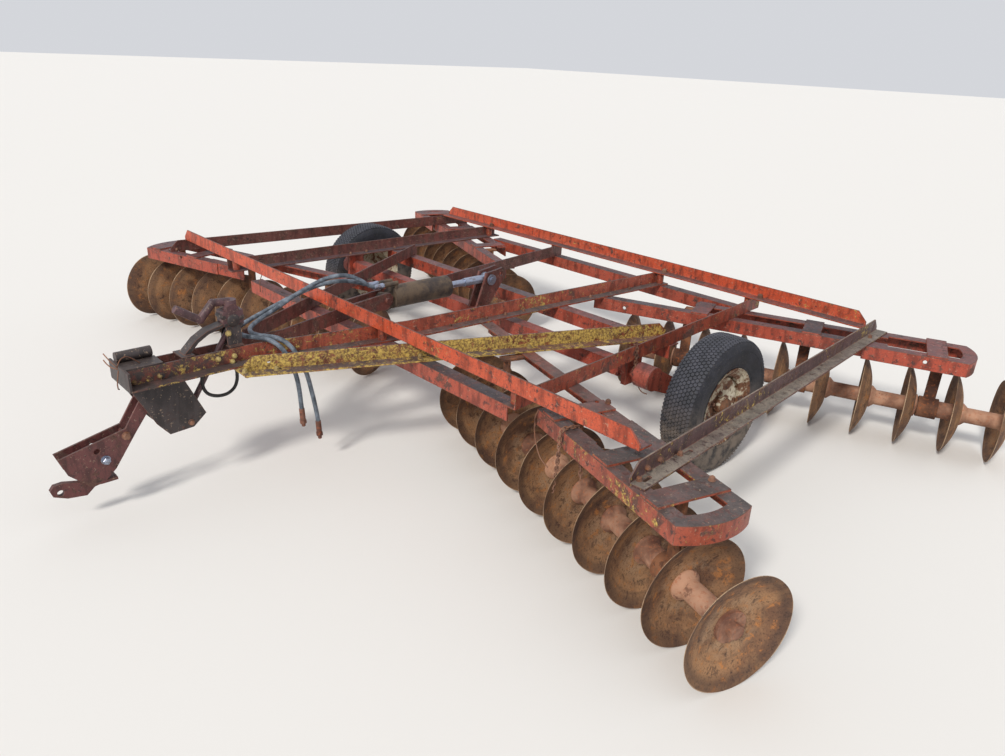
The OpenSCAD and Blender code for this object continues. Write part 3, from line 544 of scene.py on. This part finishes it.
for x, y in far_rail_bolts:
    heads.append((plan(x, y, flange_top), upward, crosswise, 0.8))
heads.append((plan(152, -908, 343), crosswise, lengthwise, 1.1))
repeated(bolt_shape(0.012, 0.005), "frame_bolts", "frame", bolt_rust, heads)

# Gang frames: rolled angles along each gang, closed round its outer end and tied by welded cross plates,
# with rusted plate hangers bolted below that hold the bearings.
for gang in gang_corners:
    node = "gang_frame_" + gang
    # The gang frames other than the left front one take the red paint darkened with painted shade.
    paint = red_lichen if gang == "front_left" else red_shaded
    worn_copy(node, paint, slots=frame_slots.get(node, ()))
hanger_rust = rusted("rusted hangers", (142, 96, 68), (70, 44, 34), (160, 92, 52))
for gang in gang_corners:
    worn_copy("hangers_" + gang, hanger_rust)


# Discs: dished steel blades that scour in the soil; the rust is brown and pitted, dark round the cutting
# edge, with orange and ochre patches. Each gang's ten turn together.
shaft_height = 0.2295


def disc_steel(name, corner, turned_by):
    mix = Finish(name)
    place = mix.node("ShaderNodeMapping", {"vector_type": "TEXTURE"},
                     {"Vector": mix.place, "Location": (*corner, shaft_height),
                      "Rotation": (0, 0, math.radians(turned_by))})
    parts = [mix.node("ShaderNodeSeparateXYZ", sockets={0: place}, out=i) for i in range(3)]
    radius = mix.sum("SQRT", parts[1] * parts[1] + parts[2] * parts[2])
    turned = mix.node("ShaderNodeCombineXYZ", sockets={0: radius * 60, 1: parts[0] * 3})
    ring = mix.spread(1, 3, 0.6, at=turned)
    broad = mix.spread(5, 5, 0.62, warp=0.5)
    pits = mix.spread(125, 5, 0.75)
    bloom = mix.spread(22, 6, 0.75, warp=0.4)
    colour = broad.between(0.36, 0.62).tint(shade(112, 80, 60), shade(164, 124, 88))
    colour = (ring.between(0.45, 0.7) * 0.35).tint(colour, shade(84, 62, 50))
    soil = ((0.13 - radius).between(-0.03, 0.05) * mix.spread(14, 5, 0.7).between(0.42, 0.58)) * 0.55
    colour = soil.tint(colour, shade(176, 146, 116))
    colour = (bloom.between(0.54, 0.64) * 0.8).tint(colour, shade(184, 122, 68))
    colour = (bloom.between(0.46, 0.36) * 0.75).tint(colour, shade(66, 48, 42))
    dark = (radius + 0.03 * (broad - 0.5)).between(0.17, 0.205) * 0.55
    colour = dark.tint(colour, shade(72, 54, 46))
    colour = (radius.between(0.2245, 0.227) * 0.7).tint(colour, shade(196, 168, 136))
    colour = (pits.between(0.54, 0.62) * 0.6).tint(colour, shade(52, 38, 32))
    return mix.finish(colour, 0.68 + 0.25 * pits, pits + 0.4 * ring + 0.8 * bloom, 0.002, 0.15)


disc_radius, disc_dish, disc_wall, disc_step = 0.2285, 0.057, 0.0045, 0.2286
bore_radius, flat_radius = 0.016, 0.065
worn_from = 0.21
disc_rings = range(1, 11)
reach = [bore_radius, flat_radius] + [flat_radius + (disc_radius - flat_radius) * k / 10 for k in disc_rings]
rise = [0.0, 0.0] + [disc_dish * (k / 10) ** 1.65 for k in disc_rings]
disc_face = list(zip(rise, reach))
disc_back = [(h - disc_wall, r) for h, r in disc_face]
disc_back[-1] = (disc_back[-1][0] + 0.002, disc_back[-1][1])
for gang, (corner, turned_by, side) in gang_corners.items():
    first, hollow = (0.143, 1) if "front" in gang else (0.265, -1)
    steel = disc_steel("pitted disc steel " + gang.replace("_", " "), corner, turned_by)
    along = Vector((math.cos(math.radians(turned_by)), math.sin(math.radians(turned_by)), 0)) * side
    form = bmesh.new()
    chance = random.Random(gang)
    for i in range(10):
        middle = Vector((*corner, shaft_height)) + along * (first - i * disc_step)
        start = len(form.verts)
        turn(form, disc_face + disc_back[::-1], middle, along * hollow, 112, hollow=True)
        form.verts.ensure_lookup_table()
        lean = [chance.uniform(0, 6.28) for _ in range(3)]
        for vert in form.verts[start:]:
            out = vert.co - middle
            out -= along * out.dot(along)
            if out.length > worn_from:
                way = math.atan2(out.z, out.dot(Vector((-along.y, along.x, 0))))
                bite = 0.0012 * (1 + math.sin(3 * way + lean[0]))
                bite += 0.0006 * (1 + math.sin(7 * way + lean[1]))
                vert.co -= out.normalized() * bite
    discs = piece(form, "discs_" + gang + "_pitted", "gang_" + gang, steel, 40)
    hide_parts("discs_" + gang)

# Spools: cast iron spacers with flared ends, clamped between the discs on each gang's shaft, brown with
# a pink bloom of dry rust.
spool_iron = rusted("rusted cast iron", (188, 146, 120), (106, 70, 56), (170, 108, 76))
for gang in gang_corners:
    worn_copy("spools_" + gang, spool_iron, 0.0012)

# Lift: a square rockshaft across the frame, round where it turns in two bearings, with an arm down to
# each wheel and a pair of plates up to the cylinder's rod.
axle_red = old_paint("red axle paint", (160, 66, 48), 0.45, 0.6)
for node, material in (("rockshaft", axle_red), ("wheel_arm_left", axle_red), ("wheel_arm_right", axle_red),
                       ("lift_arm", purple)):
    worn_copy(node, material)


# Wheels: road tyres worn down to a fine six-sided pattern, on pressed steel rims in old cream paint, with
# five rusted nuts and a rusted hub cap.
def tyre_rubber(name, paler=0):
    mix = Finish(name)
    dust = mix.spread(16, 5, 0.65)
    scuff = mix.spread(140, 4, 0.7)
    colour = dust.between(0.35, 0.7).tint(shade(19 + paler, 21 + paler, 28 + paler),
                                          shade(42 + paler, 43 + paler, 52 + paler))
    colour = (scuff.between(0.55, 0.68) * 0.4).tint(colour, shade(104, 98, 92))
    low = mix.node("ShaderNodeSeparateXYZ", sockets={0: mix.place}, out=2)
    dusty = (0.62 - low).between(0.12, 0.42) * dust.between(0.3, 0.6) * 0.75
    colour = dusty.tint(colour, shade(126, 112, 98))
    return mix.finish(colour, 0.62 + 0.25 * dust, scuff, 0.0006)


def rim_paint(name):
    mix = Finish(name)
    patch = mix.spread(11, 6, 0.72, warp=0.5)
    speck = mix.spread(62, 6, 0.78)
    colour = mix.spread(5, 3).between(0.3, 0.7).tint(shade(158, 148, 126), shade(206, 198, 176))
    colour = (speck.between(0.5, 0.6) * 0.7).tint(colour, shade(132, 96, 66))
    colour = (patch + 0.25 * speck).between(0.6, 0.68).tint(colour, shade(104, 66, 42))
    colour = (patch + 0.15 * speck).between(0.66, 0.72).tint(colour, shade(52, 36, 30))
    colour = (speck.between(0.62, 0.68) * 0.8).tint(colour, shade(60, 42, 34))
    return mix.finish(colour, 0.5 + 0.4 * patch, patch + 0.6 * speck, 0.0014)


cream = rim_paint("old cream rim paint")
wheel_middle = (1.539, 0.6015, 0.355)
tyre_half = [(0.062, 0.1865), (0.070, 0.196), (0.079, 0.214), (0.087, 0.236), (0.0925, 0.262),
             (0.0938, 0.285), (0.0925, 0.305), (0.087, 0.324), (0.079, 0.337), (0.068, 0.3445),
             (0.050, 0.3475), (0.025, 0.3488)]
tyre_section = tyre_half + [(0, 0.349)] + [(-x, r) for x, r in tyre_half[::-1]]
tyre_lining = [(-0.045, 0.2), (-0.066, 0.25), (-0.06, 0.32), (0, 0.335), (0.06, 0.32), (0.066, 0.25),
               (0.045, 0.2)]
wall_ribs = ((0.222, 0.0835), (0.300, 0.0935))
tread_count, tread_block = 104, 0.0102
tread_rows = ((0, 0.349, 0), (0.0182, 0.3488, 1), (0.0364, 0.3482, 4), (0.0540, 0.3466, 11),
              (0.0705, 0.3430, 27))
hub_section = [(0.085, 0.0), (0.084, 0.020), (0.080, 0.034), (0.070, 0.040), (0.050, 0.040), (0.050, 0.027),
               (0.077, 0.026), (0.077, 0.0)]
nut_count, nut_circle, nut_out = 5, 0.062, 0.0235
for side, hand in (("left", 1), ("right", -1)):
    wheel = "wheel_" + side
    middle = Vector((wheel_middle[0] * hand, *wheel_middle[1:]))
    black = tyre_rubber("worn tyre rubber " + side)
    form = bmesh.new()
    turn(form, tyre_section + tyre_lining, middle, crosswise, 120, hollow=True)
    for ring, reach in wall_ribs:
        for way in (1, -1):
            turn(form, [(way * (reach - 0.004), ring - 0.004), (way * (reach + 0.0006), ring - 0.0015),
                        (way * (reach + 0.0006), ring + 0.0015), (way * (reach - 0.004), ring + 0.004)],
                 middle, crosswise, 96, hollow=True)
    tyre = piece(form, "tyre_" + side + "_carcass", wheel, black, 45)
    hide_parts("tyre_" + side)
    blocks = []
    for row, (out, reach, lean) in enumerate(tread_rows):
        lean = math.radians(lean)
        for way in ((1, -1) if out else (1,)):
            for k in range(tread_count):
                angle = 2 * math.pi * (k + 0.5 * (row % 2)) / tread_count
                away = Vector((0, math.cos(angle), math.sin(angle)))
                up = away * math.cos(lean) + Vector((way * math.sin(lean), 0, 0))
                blocks.append((middle + away * reach + Vector((out * way, 0, 0)), up, crosswise, 1.0))
    block = bmesh.new()
    turn(block, [(-0.0015, tread_block), (0.0044, tread_block * 0.95), (0.0052, tread_block * 0.86)],
         (0, 0, 0), upward, 6)
    tread_black = tyre_rubber("worn tread " + side, 26)
    repeated(block, "tyre_" + side + "_tread", wheel, tread_black, blocks)
    nodes["rim_" + side].data.materials.clear()
    nodes["rim_" + side].data.materials.append(cream)
    hub = bmesh.new()
    out = Vector((hand, 0, 0))
    turn(hub, hub_section, middle, out, 40)
    hub_rust = rusted("rusted hub " + side, (118, 84, 62), (62, 42, 34))
    piece(hub, "hub_cap_" + side, wheel, hub_rust, 40)
    nuts = []
    for k in range(nut_count):
        angle = 2 * math.pi * (k + 0.3) / nut_count
        round_hub = Vector((0, nut_circle * math.cos(angle), nut_circle * math.sin(angle)))
        nuts.append((middle + out * nut_out + round_hub, out, upward, 0.95))
    repeated(bolt_shape(0.013), "wheel_nuts_" + side, wheel, bolt_rust, nuts)

# Cylinder: a weathered grey-brown barrel, its paint darkened as painted shade, pinned to its anchor's lugs,
# with a bright rod to the lift and two plated fittings where the hoses leave it.
def barrel_paint(name):
    mix = Finish(name)
    patch = mix.spread(9, 6, 0.7)
    speck = mix.spread(90, 5, 0.7)
    # The barrel's dark grey-brown is partly its own paint and partly painted shade.
    colour = patch.between(0.38, 0.62).tint(shade(52, 44, 42), shade(98, 82, 66))
    colour = (speck.between(0.55, 0.68) * 0.6).tint(colour, shade(74, 52, 42))
    return mix.finish(colour, 0.55 + 0.3 * patch, speck + patch, 0.0006, 0.1)


def bright_rod(name):
    mix = Finish(name)
    stain = mix.spread(40, 4)
    colour = stain.between(0.5, 0.75).tint(shade(150, 158, 176), shade(112, 96, 88))
    return mix.finish(colour, 0.26 + 0.2 * stain, None, 0.0, 0.8)


for node, material in (("cylinder_barrel", barrel_paint("grey-brown cylinder paint with painted shade")),
                       ("cylinder_rod", bright_rod("bright rod"))):
    nodes[node].data.materials.clear()
    nodes[node].data.materials.append(material)
worn_copy("cylinder_anchor", purple)
plated = bright_rod("plated hose fittings")
fitting_nut = [(0, 0.0145), (0.020, 0.0145)]
fitting_sleeve = [(0.020, 0.0125), (0.024, 0.0132), (0.058, 0.0132), (0.062, 0.0122)]
fittings = bmesh.new()
for x in (76, 24):
    start, ahead = plan(x, 203, 781), (0, -1, 0)
    turn(fittings, fitting_nut, start, ahead, 6)
    turn(fittings, fitting_sleeve, start, ahead, 20)
piece(fittings, "hose_fittings", "barrel", plated)

# Hitch: two plates under a head at the tongue's tip, a hinged drawbar of two bars, and the levelling
# crank's casting held by a bent strap.
blackened = old_paint("blackened hitch paint", (50, 42, 42), 0.35, 0.6, 0.0, (78, 68, 64))
bar_red = old_paint("dark red drawbar paint", (98, 46, 44), 0.6, 0.7, 0.0, (88, 68, 64))
crank_dark = old_paint("dark crank paint", (84, 52, 56), 0.45, 0.5, 0.0, (70, 60, 66))
for node, material, slot in (("hitch_head", blackened, "dark_paint"),
                             ("hitch_bracket", blackened, "dark_paint"), ("drawbar", bar_red, "rust"),
                             ("levelling_crank", crank_dark, "rust"), ("crank_strap", blackened, "rust")):
    worn_copy(node, material)

side_bolts = ((-750, 609, 1.0), (-673, 607, 1.0), (-685, 582, 1.0), (-1013, 594, 0.9), (-1120, 590, 0.9))
brace_bolts = ((283, -694), (338, -568), (603, 44), (827, 563))
tongue_bolts = [(plan(140, y, z), crosswise, lengthwise, grow) for y, z, grow in side_bolts]
tongue_bolts += [(plan(36, y, 608), (-1, 0, 0), lengthwise, 1.0) for y in (-750, -673, -1013)]
tongue_bolts += [(plan(x, y, flange_top), upward, crosswise, 1.1) for x, y in brace_bolts]
tongue_bolts += [(plan(x, -684, 713), (side, 0, 0), lengthwise, 1.1) for x, side in ((122, 1), (54, -1))]
bolt_lichen = rusted("bolts under lichen", (182, 164, 108), (108, 82, 56), (160, 126, 72))
repeated(bolt_shape(0.011, 0.006), "tongue_bolts", "frame", bolt_lichen, tongue_bolts)
casting_drum = [(0, 0.0), (0, 0.030), (0.006, 0.037), (0.052, 0.037), (0.064, 0.034), (0.074, 0.025),
                (0.078, 0.0)]
casting_boss = [(0, 0.0), (0, 0.020), (0.018, 0.020), (0.022, 0.016), (0.022, 0.0)]
casting_lugs = ((-696, 790, 0.012), (-612, 776, 0.014), (-690, 752, 0.010), (-618, 744, 0.011))
casting = bmesh.new()
turn(casting, casting_drum, plan(54, -652, 768), crosswise, 32)
turn(casting, casting_boss, plan(88, -652, 788), upward, 6)
for y, z, reach in casting_lugs:
    lug = [(0, 0.0), (0, reach), (0.062, reach), (0.068, reach * 0.7), (0.068, 0.0)]
    turn(casting, lug, plan(56, y, z), crosswise, 12)
piece(casting, "crank_housing", "frame", blackened, 40)
zinc = bright_rod("zinc plated bolt")
repeated(bolt_shape(0.012, 0.004), "drawbar_bolt", "drawbar", zinc,
         [(plan(126, -1277, 266), crosswise, lengthwise, 1.6)])
repeated(bolt_shape(0.010), "drawbar_old_bolts", "drawbar", bolt_rust,
         [(plan(126, -1181, 351), crosswise, lengthwise, 1.5),
          (plan(126, -1075, 470), crosswise, lengthwise, 1.2)])

# Chains and wires: rusted chain slung over the left front gang's beam and over the left main rail, and
# thin wire caught on the beams and on the hitch's head, all left loose.
wire_radius, link_pitch = 0.0026, 0.0175


def along_route(points, pitch):
    """Places at an even pitch along a route, each with its direction."""
    route = smooth_route([Vector(p) for p in points], 12)
    places, gone, due = [], 0.0, 0.0
    for a, b in zip(route, route[1:]):
        step = (b - a).length
        while due <= gone + step and step > 0:
            places.append((a.lerp(b, (due - gone) / step), (b - a).normalized()))
            due += pitch
        gone += step
    return places


def rod_along(form, points, radius, sides=8, steps=6):
    """Adds a round wire along a route to form."""
    route = smooth_route([Vector(p) for p in points], steps)
    across = (route[1] - route[0]).orthogonal().normalized()
    rings = []
    for i, place in enumerate(route):
        ahead = (route[min(i + 1, len(route) - 1)] - route[max(i - 1, 0)]).normalized()
        across = (across - ahead * across.dot(ahead)).normalized()
        other = ahead.cross(across)
        rings.append([form.verts.new(place + radius * (math.cos(a) * across + math.sin(a) * other))
                      for a in [2 * math.pi * k / sides for k in range(sides)]])
    for a, b in zip(rings, rings[1:]):
        for k in range(sides):
            form.faces.new((a[k], a[(k + 1) % sides], b[(k + 1) % sides], b[k]))
    form.faces.new(rings[0])
    form.faces.new(rings[-1])


def link_shape(half=0.0115, width=0.0065, wire=0.0032):
    """One oval link of chain round the origin, lying flat."""
    form = bmesh.new()
    loop = [(math.copysign(half, math.cos(a)) * min(1, abs(math.cos(a)) * 1.6), width * math.sin(a))
            for a in [2 * math.pi * (k + 0.5) / 12 for k in range(12)]]
    rings = []
    for k, (x, y) in enumerate(loop):
        out = Vector((x * 0.4, y, 0)).normalized()
        ring = [wire * (math.cos(a) * out + math.sin(a) * Vector(upward))
                for a in [2 * math.pi * j / 6 for j in range(6)]]
        rings.append([form.verts.new(Vector((x, y, 0)) + spot) for spot in ring])
    for a, b in zip(rings, rings[1:] + rings[:1]):
        for j in range(6):
            form.faces.new((a[j], a[(j + 1) % 6], b[(j + 1) % 6], b[j]))
    return form


def beam_place(across, z, along=-722):
    """A place by the left front gang's beam, in millimetres."""
    return gang_place(*gang_corners["front_left"], along, across, z)


chain_routes = (
    [beam_place(-178, 292, -736), beam_place(-174, 360, -728), beam_place(-171, 460), beam_place(-170, 540),
     beam_place(-166, 566), beam_place(-150, 577), beam_place(-110, 578), beam_place(-86, 572),
     beam_place(-76, 545), beam_place(-74, 480, -712), beam_place(-80, 410, -690),
     beam_place(-92, 352, -664)],
    [plan(1253, 886, 520), plan(1256, 884, 560), plan(1256, 884, 610), plan(1252, 884, 648),
     plan(1244, 884, 652), plan(1236, 886, 640), plan(1232, 890, 600), plan(1228, 896, 583)],
)
links = []
for route in chain_routes:
    for k, (place, ahead) in enumerate(along_route(route, link_pitch)):
        flat = ahead.orthogonal().normalized()
        links.append((place, flat if k % 2 else ahead.cross(flat), ahead, 1.0))
repeated(link_shape(), "slung_chains", "frame", bolt_rust, links, smooth=60)
wires = bmesh.new()
for route in (
        [beam_place(-150, 540, -941), beam_place(-164, 500, -940), beam_place(-166, 440, -925),
         beam_place(-150, 360, -905), beam_place(-120, 310, -880)],
        [beam_place(-158, 565, -930), beam_place(-168, 530, -934), beam_place(-160, 490, -938)],
        [plan(1254, 886, 524), plan(1262, 890, 470), plan(1290, 905, 410), plan(1312, 930, 392)],
        [plan(60, -1200, 714), plan(82, -1194, 700), plan(100, -1186, 684), plan(106, -1174, 668),
         plan(104, -1166, 655)],
        [plan(70, -1206, 690), plan(90, -1200, 676), plan(102, -1190, 664), plan(110, -1174, 655),
         plan(112, -1166, 652)],
        [plan(100, -1168, 655), plan(100, -1150, 686), plan(100, -1130, 696), plan(98, -1110, 688),
         plan(96, -1085, 666), plan(92, -1060, 636), plan(90, -1040, 578)],
        [plan(126, -1170, 652), plan(128, -1182, 600), plan(126, -1182, 572), plan(120, -1176, 566)],
        [plan(-905, 60, 650), plan(-915, 40, 668), plan(-925, 20, 655), plan(-920, -8, 600),
         plan(-910, -14, 540)],
        [plan(-420, 50, 650), plan(-428, 20, 662), plan(-432, -6, 640), plan(-425, -12, 560)]):
    rod_along(wires, route, wire_radius)
piece(wires, "loose_wires", "frame", bolt_rust, 60)
